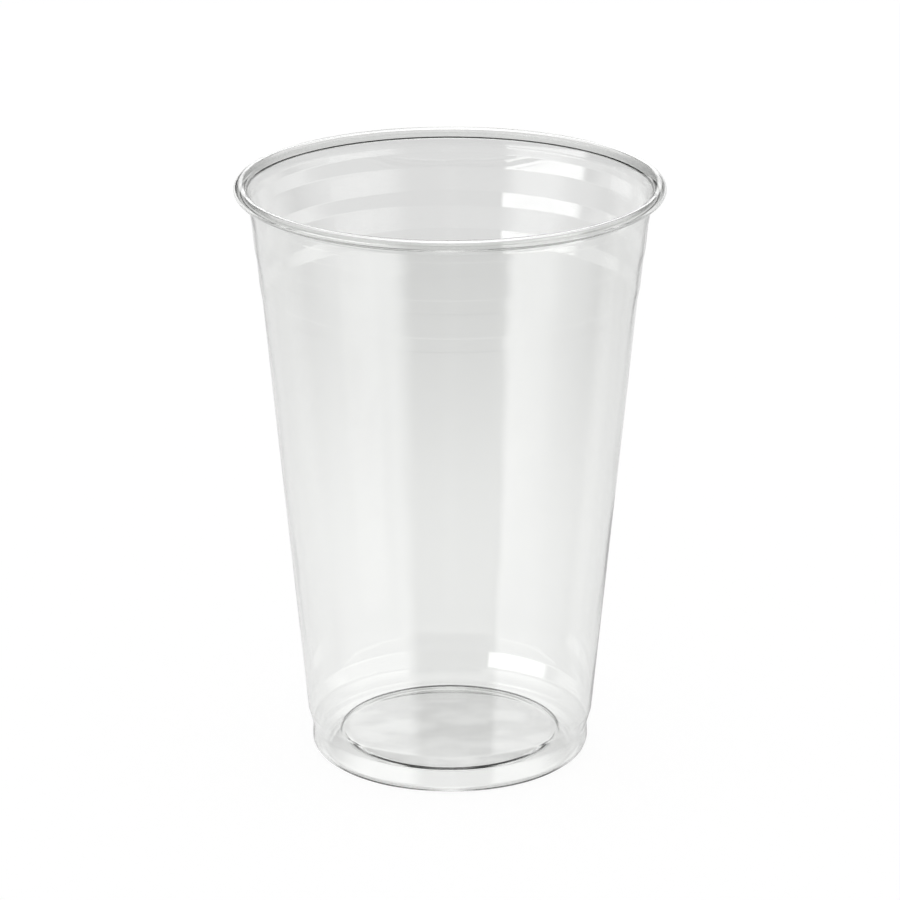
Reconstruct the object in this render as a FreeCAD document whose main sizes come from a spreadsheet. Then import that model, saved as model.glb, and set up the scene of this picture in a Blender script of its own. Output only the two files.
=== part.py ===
"""A clear disposable drinks cup, formed in one piece from plastic sheet, in millimetres.

The cup stands on its foot with +Z up, and the origin is the middle of its underside.
One line in section is the outer face of the sheet: the raised floor, the foot ring, the
groove above the foot, the tapered wall with its stacking steps and the rolled rim. The
sheet's thickness is given to the inner side of that line, and the section turns about Z.
"""

import FreeCAD, Part

import math
import os

import Sketcher
from FreeCAD import Placement, Rotation, Vector

# Driving sizes in millimetres and degrees. Corners are placed as they are before rounding.
SIZES = [
    ("cup_height", 137.0),
    ("rim_diameter", 98.0),
    ("sheet_thickness", 0.3),
    # rolled rim: the roll's outer radius, and how far round the sheet's edge is rolled
    ("curl_radius", 1.45),
    ("curl_sweep", 290.0),
    # the wall flares out a little just below the rim
    ("flare_drop", 4.0),
    ("flare_reach", 0.65),
    ("flare_rounding", 3.0),
    # stacking steps, where the wall leans out further, measured from the rim down
    ("step_count", 3),
    ("step_drop", 5.7),
    ("step_pitch", 9.0),
    ("step_rise", 3.3),
    ("step_reach", 0.27),
    ("step_rounding", 4.0),
    # foot, the groove above it, and the shoulder where the plain taper begins
    ("foot_diameter", 64.9),
    ("foot_rounding", 2.7),
    ("groove_height", 6.2),
    ("groove_depth", 0.2),
    ("groove_rounding", 3.0),
    ("shoulder_height", 9.9),
    ("shoulder_reach", 0.85),
    ("shoulder_rounding", 4.0),
    # the ring that the cup stands on, and the floor raised inside it
    ("ring_width", 4.05),
    ("ring_rounding", 1.2),
    ("floor_height", 3.5),
    ("floor_slope_run", 3.3),
    ("floor_rounding", 0.8),
]

doc = FreeCAD.newDocument("DrinksCup")
sheet = doc.addObject("Spreadsheet::Sheet", "Sizes")
for row, (size_name, size_value) in enumerate(SIZES, start=1):
    sheet.set(f"A{row}", size_name)
    sheet.set(f"B{row}", str(size_value))
    sheet.setAlias(f"B{row}", size_name)
doc.recompute()

# Radii and heights that follow from the driving sizes, written as expressions.
CURL_CENTRE_RADIUS = "(Sizes.rim_diameter / 2 - Sizes.curl_radius)"
CURL_CENTRE_HEIGHT = "(Sizes.cup_height - Sizes.curl_radius)"
CURL_LINE_RADIUS = "(Sizes.curl_radius - Sizes.sheet_thickness)"
FLARE_HEIGHT = "(Sizes.cup_height - Sizes.flare_drop)"
FLARE_RADIUS = f"({CURL_CENTRE_RADIUS} - {CURL_LINE_RADIUS} - Sizes.flare_reach)"
FOOT_RADIUS = "Sizes.foot_diameter / 2"
SHOULDER_RADIUS = f"({FOOT_RADIUS} + Sizes.shoulder_reach)"
RING_RADIUS = f"({FOOT_RADIUS} - Sizes.ring_width)"
WALL_LEAN = (
    f"({FLARE_RADIUS} - {SHOULDER_RADIUS} - Sizes.step_count * Sizes.step_reach)"
    f" / ({FLARE_HEIGHT} - Sizes.shoulder_height)"
)


def wall_radius(height, steps_below):
    """The wall's outer radius at a height that has this many steps below it."""
    taper = f"({height} - Sizes.shoulder_height) * {WALL_LEAN}"
    return f"{SHOULDER_RADIUS} + {taper} + {steps_below} * Sizes.step_reach"


def size_of(expression):
    """What an expression on the sheet comes to, as a plain number."""
    return float(sheet.evalExpression(expression))


# The line's corners from the floor outwards and up: name, radius, height, rounding.
corners = [
    ("floor", f"{RING_RADIUS} - Sizes.floor_slope_run", "Sizes.floor_height", "Sizes.floor_rounding"),
    ("ring", RING_RADIUS, "0", "Sizes.ring_rounding"),
    ("foot", FOOT_RADIUS, "0", "Sizes.foot_rounding"),
    ("groove", f"{FOOT_RADIUS} - Sizes.groove_depth", "Sizes.groove_height", "Sizes.groove_rounding"),
    ("shoulder", SHOULDER_RADIUS, "Sizes.shoulder_height", "Sizes.shoulder_rounding"),
]
step_count = int(size_of("Sizes.step_count"))
for step in range(step_count):
    steps_above = step_count - 1 - step
    top = f"(Sizes.cup_height - Sizes.step_drop - {steps_above} * Sizes.step_pitch)"
    foot = f"({top} - Sizes.step_rise)"
    corners.append((f"step_{step}_foot", wall_radius(foot, step), foot, "Sizes.step_rounding"))
    corners.append((f"step_{step}_top", wall_radius(top, step + 1), top, "Sizes.step_rounding"))
corners.append(("flare", FLARE_RADIUS, FLARE_HEIGHT, "Sizes.flare_rounding"))

# The sheet's line is drawn in the XZ plane: across is the radius, and up is the height.
START, END, CENTRE = 1, 2, 3
HORIZONTAL_AXIS = -1
VERTICAL_AXIS = -2
AXIS = Vector(0, 0, 1)

line = doc.addObject("Sketcher::SketchObject", "SheetLine")
line.Placement = Placement(Vector(), Rotation(Vector(1, 0, 0), 90))


def bind(kind, name, expression, *places):
    """Give the sketch a constraint whose size comes from the sheet of sizes."""
    size = size_of(expression)
    if kind == "Angle":
        size = math.radians(size)
    index = line.addConstraint(Sketcher.Constraint(kind, *places, size))
    line.renameConstraint(index, name)
    line.setExpression(f"Constraints.{name}", expression)


def place(name, radius, height, geometry, position):
    """Set a point of the sketch at a radius and a height."""
    bind("DistanceX", f"{name}_radius", radius, HORIZONTAL_AXIS, START, geometry, position)
    if height == "0":
        line.addConstraint(Sketcher.Constraint("PointOnObject", geometry, position, HORIZONTAL_AXIS))
    else:
        bind("DistanceY", f"{name}_height", height, HORIZONTAL_AXIS, START, geometry, position)


# The point where the wall's last straight run touches the rolled rim's line.
corner_points = [Vector(size_of(radius), size_of(height), 0) for _, radius, height, _ in corners]
curl_centre = Vector(size_of(CURL_CENTRE_RADIUS), size_of(CURL_CENTRE_HEIGHT), 0)
curl_line_radius = size_of(CURL_LINE_RADIUS)
to_centre = curl_centre - corner_points[-1]
flare_angle = math.atan2(to_centre.y, to_centre.x) + math.asin(curl_line_radius / to_centre.Length)
touch_angle = flare_angle + math.pi / 2
touch_point = curl_centre + Vector(math.cos(touch_angle), math.sin(touch_angle), 0) * curl_line_radius

# Straight runs from the middle of the floor, from corner to corner, to the rolled rim.
points = [Vector(0, corner_points[0].y, 0)] + corner_points + [touch_point]
runs = []
for run_start, run_end in zip(points, points[1:]):
    runs.append(line.addGeometry(Part.LineSegment(run_start, run_end)))
for run, next_run in zip(runs, runs[1:]):
    line.addConstraint(Sketcher.Constraint("Coincident", run, END, next_run, START))
line.addConstraint(Sketcher.Constraint("PointOnObject", runs[0], START, VERTICAL_AXIS))
line.addConstraint(Sketcher.Constraint("Horizontal", runs[0]))
for run, (name, radius, height, _) in zip(runs, corners):
    place(name, radius, height, run, END)

# The rolled rim: an arc that the last run meets as a tangent, rolled over outwards.
curl_circle = Part.Circle(curl_centre, AXIS, curl_line_radius)
curl_sweep = math.radians(size_of("Sizes.curl_sweep"))
curl = line.addGeometry(Part.ArcOfCircle(curl_circle, touch_angle - curl_sweep, touch_angle))
line.addConstraint(Sketcher.Constraint("Tangent", runs[-1], END, curl, END))
place("curl", CURL_CENTRE_RADIUS, CURL_CENTRE_HEIGHT, curl, CENTRE)
bind("Radius", "curl_line_radius", CURL_LINE_RADIUS, curl)
bind("Angle", "curl_sweep", "Sizes.curl_sweep", curl)
doc.recompute()

# Each corner is rounded by an arc, and stays in the sketch as a point both its runs aim at.
for index, (name, _, _, rounding) in enumerate(corners):
    near_start = (points[index] + points[index + 1]) / 2
    near_end = (points[index + 1] + points[index + 2]) / 2
    arc = line.GeometryCount
    line.fillet(runs[index], runs[index + 1], near_start, near_end, size_of(rounding), True, True, False)
    bind("Radius", f"{name}_rounding", rounding, arc)
doc.recompute()

# The sheet's thickness, on the side of the line that faces into the cup.
section = doc.addObject("Part::Offset2D", "SheetSection")
section.Source = line
section.setExpression("Value", "Sizes.sheet_thickness")
section.Mode = "Skin"
section.Fill = True

cup = doc.addObject("Part::Revolution", "Cup")
cup.Label = "cup"
cup.Source = section
cup.Axis = AXIS
cup.Angle = 360
cup.Solid = True
cup.Placement = Placement()
doc.recompute()

for item in doc.Objects:
    if "Invalid" in item.State or "Error" in item.State:
        raise RuntimeError(f"{item.Label} failed: {item.State}")
if not line.FullyConstrained:
    raise RuntimeError("the sheet's line isn't fully constrained")
if cup.Shape.isNull() or not cup.Shape.isValid() or len(cup.Shape.Solids) != 1:
    raise RuntimeError("the cup isn't one valid solid")

os.makedirs("parts", exist_ok=True)
cup.Shape.exportStep(f"parts/{cup.Label}.step")
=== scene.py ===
import math

import bpy
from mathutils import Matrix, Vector


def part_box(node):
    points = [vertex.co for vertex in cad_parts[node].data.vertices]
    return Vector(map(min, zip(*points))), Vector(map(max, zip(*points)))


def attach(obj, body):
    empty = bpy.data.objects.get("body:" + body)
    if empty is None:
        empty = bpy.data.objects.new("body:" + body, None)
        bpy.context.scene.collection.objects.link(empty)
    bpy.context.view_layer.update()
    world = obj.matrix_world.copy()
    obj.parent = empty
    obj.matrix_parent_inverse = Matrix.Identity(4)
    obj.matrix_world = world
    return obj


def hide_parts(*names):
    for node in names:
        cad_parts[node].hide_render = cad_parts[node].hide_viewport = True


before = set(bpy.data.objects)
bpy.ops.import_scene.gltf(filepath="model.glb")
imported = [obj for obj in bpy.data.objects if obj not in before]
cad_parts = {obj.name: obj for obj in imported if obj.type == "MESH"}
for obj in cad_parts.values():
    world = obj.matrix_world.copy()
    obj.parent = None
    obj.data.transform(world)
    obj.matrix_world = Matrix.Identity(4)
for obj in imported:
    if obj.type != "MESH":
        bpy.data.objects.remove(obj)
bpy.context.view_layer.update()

# The cup: one sheet of clear PET, formed hot over a mould and rolled over at the rim. The
# wall is stretched thin, while the floor and the roll stay thicker. The outer face is drawn
# in section and turned about the axis, and the thickness goes to the inner side.
MM = 0.001
lowest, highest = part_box("cup")
cup_height = highest[2]
rim_radius = (highest[0] - lowest[0]) / 2
foot_radius = 32.45 * MM
wall_thickness = 0.3 * MM
roll_thickness = 0.55 * MM
floor_thickness = 0.7 * MM

# The shoulder above the foot, the flare below the rim and the stacking steps between them.
shoulder = Vector((foot_radius + 0.85 * MM, 9.9 * MM))
roll_radius = 1.45 * MM
flare_reach = 0.65 * MM
flare_radius = rim_radius - 2 * roll_radius + wall_thickness - flare_reach
flare = Vector((flare_radius, cup_height - 4.0 * MM))
step_count = 3
step_reach = 0.27 * MM
step_rise = 3.3 * MM
step_pitch = 9.0 * MM
step_drop = 5.7 * MM
step_rounding = 4.0 * MM
lean = (flare.x - shoulder.x - step_count * step_reach) / (flare.y - shoulder.y)

# Corners of the outer face before rounding: radius, height and rounding. The floor has a
# low ridge at its edge, and the lines between the corners run straight.
corners = [
    (foot_radius - 8.6 * MM, 2.8 * MM, 1.2 * MM),
    (foot_radius - 7.3 * MM, 3.3 * MM, 0.5 * MM),
    (foot_radius - 4.05 * MM, 0.0, 1.2 * MM),
    (foot_radius, 0.0, 2.7 * MM),
    (foot_radius - 0.2 * MM, 6.2 * MM, 3.0 * MM),
    (shoulder.x, shoulder.y, 4.0 * MM),
]
for step in range(step_count):
    top = cup_height - step_drop - (step_count - 1 - step) * step_pitch
    foot = top - step_rise
    top_radius = shoulder.x + (top - shoulder.y) * lean + (step + 1) * step_reach
    step_foot_radius = shoulder.x + (foot - shoulder.y) * lean + step * step_reach
    corners.append((step_foot_radius, foot, step_rounding))
    corners.append((top_radius, top, step_rounding))
corners.append((flare.x, flare.y, 3.0 * MM))


def arc_points(centre, radius, start, sweep, count):
    """Points along an arc, both ends included."""
    angles = [start + sweep * i / count for i in range(count + 1)]
    return [centre + Vector((math.cos(a), math.sin(a))) * radius for a in angles]


def rounded_corner(before, corner, after, radius, count):
    """The arc that rounds a corner between two straight runs."""
    to_before = (before - corner).normalized()
    to_after = (after - corner).normalized()
    half = to_before.angle(to_after) / 2
    centre = corner + (to_before + to_after).normalized() * radius / math.sin(half)
    first = corner + to_before * radius / math.tan(half) - centre
    last = corner + to_after * radius / math.tan(half) - centre
    start = math.atan2(first.y, first.x)
    sweep = math.atan2(first.x * last.y - first.y * last.x, first.dot(last))
    return arc_points(centre, radius, start, sweep, count)


# The roll starts where the wall touches it, and turns outwards over the top.
roll_centre = Vector((rim_radius - roll_radius, cup_height - roll_radius))
roll_line_radius = roll_radius - roll_thickness
roll_sweep = math.radians(290)
roll_steps = 36
to_centre = roll_centre - flare
wall_angle = math.atan2(to_centre.y, to_centre.x)
wall_angle += math.asin(roll_line_radius / to_centre.length)
touch_angle = wall_angle + math.pi / 2
roll = arc_points(roll_centre, roll_line_radius, touch_angle, -roll_sweep, roll_steps)

# The whole section, from the middle of the floor to the rolled edge.
corner_steps = 6
spots = [Vector((radius, height)) for radius, height, _ in corners]
ring_radii = (0, 2.5, 5, 7.5, 10, 12.5, 15, 17.5, 19.5, 21, 22.2)
section = [Vector((radius * MM, spots[0].y)) for radius in ring_radii]
ends = [section[0]] + spots + [roll[0]]
for index, (_, _, rounding) in enumerate(corners):
    before, corner, after = ends[index:index + 3]
    section.extend(rounded_corner(before, corner, after, rounding, corner_steps))
section.extend(roll)

steps_around = 288
merge_distance = 0.01 * MM
bpy.ops.object.select_all(action="DESELECT")
bpy.ops.mesh.primitive_plane_add(size=MM, location=(0, 0, section[0].y))
cup = bpy.context.object
cup.name = "cup_shell"
bpy.ops.object.transform_apply(location=True, rotation=True, scale=True)
bpy.ops.object.mode_set(mode="EDIT")
bpy.ops.mesh.select_all(action="SELECT")
bpy.ops.mesh.merge(type="CENTER")
for here, there in zip(section, section[1:]):
    move = (there.x - here.x, 0, there.y - here.y)
    bpy.ops.mesh.extrude_region_move(TRANSFORM_OT_translate={"value": move})
bpy.ops.mesh.select_all(action="SELECT")
bpy.ops.mesh.spin(steps=steps_around, angle=2 * math.pi, center=(0, 0, 0), axis=(0, 0, 1))
bpy.ops.mesh.select_all(action="SELECT")
bpy.ops.mesh.remove_doubles(threshold=merge_distance)
bpy.ops.mesh.normals_make_consistent(inside=True)
bpy.ops.object.mode_set(mode="OBJECT")

# The sheet thickens from the flare up into the roll and thins again towards the roll's
# edge. It also thickens up the slope inside the foot, towards the floor.
thickening_height = 1.5 * MM
edge_height = 0.8 * MM
slope_start = 1.0 * MM
slope_radius = foot_radius - 5 * MM
roll_outside = roll_centre.x - 0.5 * MM
weights = cup.vertex_groups.new(name="thickness")
for vertex in cup.data.vertices:
    radius = vertex.co.xy.length
    height = vertex.co.z
    thickness = wall_thickness
    if height > flare.y:
        share = min((height - flare.y) / thickening_height, 1)
        if radius > roll_outside and height < roll_centre.y:
            share = max(1 - (roll_centre.y - height) / edge_height, 0)
        thickness += (roll_thickness - wall_thickness) * share
    elif radius < slope_radius:
        share = min(max((height - slope_start) / thickening_height, 0), 1)
        thickness += (floor_thickness - wall_thickness) * share
    weights.add([vertex.index], thickness / floor_thickness, "REPLACE")
sheet = cup.modifiers.new("sheet", "SOLIDIFY")
sheet.thickness = floor_thickness
sheet.vertex_group = weights.name
sheet.offset = -1
sheet.use_even_offset = True
bpy.ops.object.modifier_apply(modifier=sheet.name)
cup.vertex_groups.clear()
bpy.ops.object.shade_smooth_by_angle(angle=math.radians(50))

plastic = bpy.data.materials.new("clear_plastic")
plastic.use_nodes = True
nodes = plastic.node_tree.nodes
links = plastic.node_tree.links
shader = nodes["Principled BSDF"]
shader.inputs["Base Color"].default_value = (0.945, 0.949, 0.942, 1)
shader.inputs["Transmission Weight"].default_value = 1
shader.inputs["IOR"].default_value = 1.575
place = nodes.new("ShaderNodeTexCoord")
# Faint upright waves, left in the thin wall where the hot sheet stretched.
stretch = nodes.new("ShaderNodeMapping")
stretch.inputs["Scale"].default_value = (1, 1, 0.4)
links.new(place.outputs["Object"], stretch.inputs["Vector"])
waves = nodes.new("ShaderNodeTexNoise")
waves.inputs["Scale"].default_value = 70
waves.inputs["Detail"].default_value = 1.5
links.new(stretch.outputs["Vector"], waves.inputs["Vector"])
bump = nodes.new("ShaderNodeBump")
bump.inputs["Distance"].default_value = 0.13 * MM
links.new(waves.outputs["Fac"], bump.inputs["Height"])
links.new(bump.outputs["Normal"], shader.inputs["Normal"])
# Patches that are a little less glossy, where the sheet cooled against the mould.
patches = nodes.new("ShaderNodeTexNoise")
patches.inputs["Scale"].default_value = 45
patches.inputs["Detail"].default_value = 3
links.new(place.outputs["Object"], patches.inputs["Vector"])
gloss = nodes.new("ShaderNodeMapRange")
gloss.inputs["From Min"].default_value = 0.35
gloss.inputs["From Max"].default_value = 0.65
gloss.inputs["To Min"].default_value = 0.012
gloss.inputs["To Max"].default_value = 0.035
links.new(patches.outputs["Fac"], gloss.inputs["Value"])
links.new(gloss.outputs["Result"], shader.inputs["Roughness"])
cup.data.materials.clear()
cup.data.materials.append(plastic)
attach(cup, "root")
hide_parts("cup")

# The floor is white card, lit so strongly that it keeps only a faint shadow of the cup. It
# is left out of the sheet's gloss and of what shows through it, which the studio gives.
bpy.ops.object.select_all(action="DESELECT")
bpy.ops.mesh.primitive_plane_add(size=4)
floor = bpy.context.object
floor.name = "floor"
floor.visible_glossy = False
floor.visible_transmission = False
card = bpy.data.materials.new("white_card")
card.use_nodes = True
nodes = card.node_tree.nodes
links = card.node_tree.links
nodes.clear()
glow = nodes.new("ShaderNodeEmission")
glow.inputs["Color"].default_value = (1, 1, 1, 1)
glow.inputs["Strength"].default_value = 0.918
shaded = nodes.new("ShaderNodeBsdfDiffuse")
shaded.inputs["Color"].default_value = (0.22, 0.22, 0.22, 1)
both = nodes.new("ShaderNodeAddShader")
links.new(glow.outputs["Emission"], both.inputs[0])
links.new(shaded.outputs["BSDF"], both.inputs[1])
out = nodes.new("ShaderNodeOutputMaterial")
links.new(both.outputs["Shader"], out.inputs["Surface"])
floor.data.materials.append(card)

# The studio, by direction in degrees: azimuth 0 is the camera's side and 90 the right. It
# has a bright softbox on the left, a weaker one on the right, a pale table and a light
# overhead, and it is dark round the camera.
world = bpy.data.worlds.new("studio")
bpy.context.scene.world = world
world.use_nodes = True
nodes = world.node_tree.nodes
links = world.node_tree.links
nodes.clear()


def joined(socket, value):
    """Set a socket to a plain number or to another node's result."""
    if isinstance(value, (int, float)):
        socket.default_value = value
    else:
        links.new(value, socket)


def worked(operation, first, second=0.0):
    """One step of arithmetic on numbers or other nodes' results."""
    node = nodes.new("ShaderNodeMath")
    node.operation = operation
    joined(node.inputs[0], first)
    joined(node.inputs[1], second)
    return node.outputs["Value"]


def ramp(value, start, end, level_before, level_after):
    """A value's smooth change from one level to another."""
    node = nodes.new("ShaderNodeMapRange")
    node.interpolation_type = "SMOOTHSTEP"
    joined(node.inputs["Value"], value)
    node.inputs["From Min"].default_value = start
    node.inputs["From Max"].default_value = end
    node.inputs["To Min"].default_value = level_before
    node.inputs["To Max"].default_value = level_after
    return node.outputs["Result"]


def blend(share, first, second):
    """From one result to another by a share of 0 to 1."""
    node = nodes.new("ShaderNodeMix")
    joined(node.inputs["Factor"], share)
    joined(node.inputs["A"], first)
    joined(node.inputs["B"], second)
    return node.outputs["Result"]


direction = nodes.new("ShaderNodeTexCoord")
parts = nodes.new("ShaderNodeSeparateXYZ")
links.new(direction.outputs["Generated"], parts.inputs["Vector"])
to_camera = worked("MULTIPLY", parts.outputs["Y"], -1)
azimuth = worked("DEGREES", worked("ARCTAN2", parts.outputs["X"], to_camera))
turn = worked("ABSOLUTE", azimuth)
elevation = worked("DEGREES", worked("ARCSINE", parts.outputs["Z"]))

# Well below the horizon: the table near the cup, lit from both sides, and the shade that
# the cup's own sides see under them.
left_table = worked("MULTIPLY", ramp(azimuth, -37, -20, 1, 0), ramp(azimuth, -120, -76, 0.9, 1.5))
right_table = worked("MULTIPLY", ramp(azimuth, 32, 41, 0, 1), ramp(azimuth, 60, 118, 1.3, 0.8))
table_light = worked("ADD", left_table, right_table)
table_light = worked("MAXIMUM", table_light, ramp(elevation, -55, -42, 0.9, 0.1))
shade_turn = worked("MULTIPLY", ramp(turn, 15, 35, 0, 1), ramp(turn, 168, 176, 1, 0))
shade = worked("MULTIPLY", ramp(elevation, -46, -35, 0.95, 0), shade_turn)
table_light = worked("MULTIPLY", table_light, worked("SUBTRACT", 1, shade))

# Just below the horizon: the table's far parts.
left_share = ramp(azimuth, -45, -29, 1, 0)
right_share = ramp(azimuth, 22, 42, 0, 1)
front_share = worked("SUBTRACT", worked("SUBTRACT", 1, left_share), right_share)
left_far = worked("MULTIPLY", left_share, ramp(azimuth, -80, -62, 1.2, 2.1))
left_far = worked("MULTIPLY", left_far, ramp(elevation, -11, -6, 0.15, 1))
right_level = worked("MULTIPLY", right_share, ramp(azimuth, 90, 120, 1.8, 1.1))
right_far = worked("MULTIPLY", right_level, ramp(elevation, -9.5, -5, 0.05, 1))
front_far = worked("MULTIPLY", front_share, ramp(elevation, -9, 1, 1, 0.02))
far_light = worked("ADD", worked("ADD", left_far, right_far), front_far)
edge_light = worked("MULTIPLY", ramp(turn, 95, 125, 0, 1), 0.83)
far_light = worked("MAXIMUM", far_light, edge_light)

# Above the horizon: the softboxes, the pale wall behind the cup and the light overhead.
softbox = worked("MULTIPLY", ramp(azimuth, -34, -31, 4, 0), ramp(azimuth, -88, -80, 0, 1))
side_light = worked("ADD", softbox, worked("MULTIPLY", right_level, 0.4))
side_light = worked("ADD", side_light, worked("MULTIPLY", front_share, 0.45))
side_light = worked("MULTIPLY", side_light, ramp(elevation, 7, 10, 1, 0.05))
back_light = worked("ADD", ramp(elevation, 17, 21, 1.3, 0), ramp(elevation, 22, 24, 0.05, 0.6))
back_light = worked("MULTIPLY", back_light, ramp(turn, 165, 176, 0, 1))
room_light = worked("ADD", worked("ADD", side_light, back_light), ramp(elevation, 28, 38, 0, 1))

mirrored = blend(ramp(elevation, -22, -17, 0, 1), table_light, far_light)
mirrored = blend(ramp(elevation, -3, 0, 0, 1), mirrored, room_light)

# What shows straight through the sheet: white table near the cup, greyer further off.
seen_below = ramp(elevation, -20.8, -16.2, 1, 0.79)
seen = worked("MULTIPLY", seen_below, ramp(elevation, 20, 45, 1, 0.3))

# A ray that has been mirrored takes the mirrored light, and the camera itself sees white.
path = nodes.new("ShaderNodeLightPath")
light = blend(worked("GREATER_THAN", path.outputs["Glossy Depth"], 0.5), seen, mirrored)
light = blend(path.outputs["Is Camera Ray"], light, 1)
background = nodes.new("ShaderNodeBackground")
background.inputs["Color"].default_value = (1, 1, 1, 1)
links.new(light, background.inputs["Strength"])
out = nodes.new("ShaderNodeOutputWorld")
links.new(background.outputs["Background"], out.inputs["Surface"])

# The camera stands about a metre away and looks down on the cup through a long lens, which
# keeps the cup's sides nearly free of perspective.
camera_data = bpy.data.cameras.new("camera")
camera_data.lens = 174.9
camera = bpy.data.objects.new("camera", camera_data)
bpy.context.collection.objects.link(camera)
look_down = 0.334
camera.location = (0, -0.9537, 0.4036)
camera.rotation_euler = (math.pi / 2 - look_down, 0, 0)
bpy.context.scene.camera = camera
bpy.context.scene.view_settings.view_transform = "Standard"
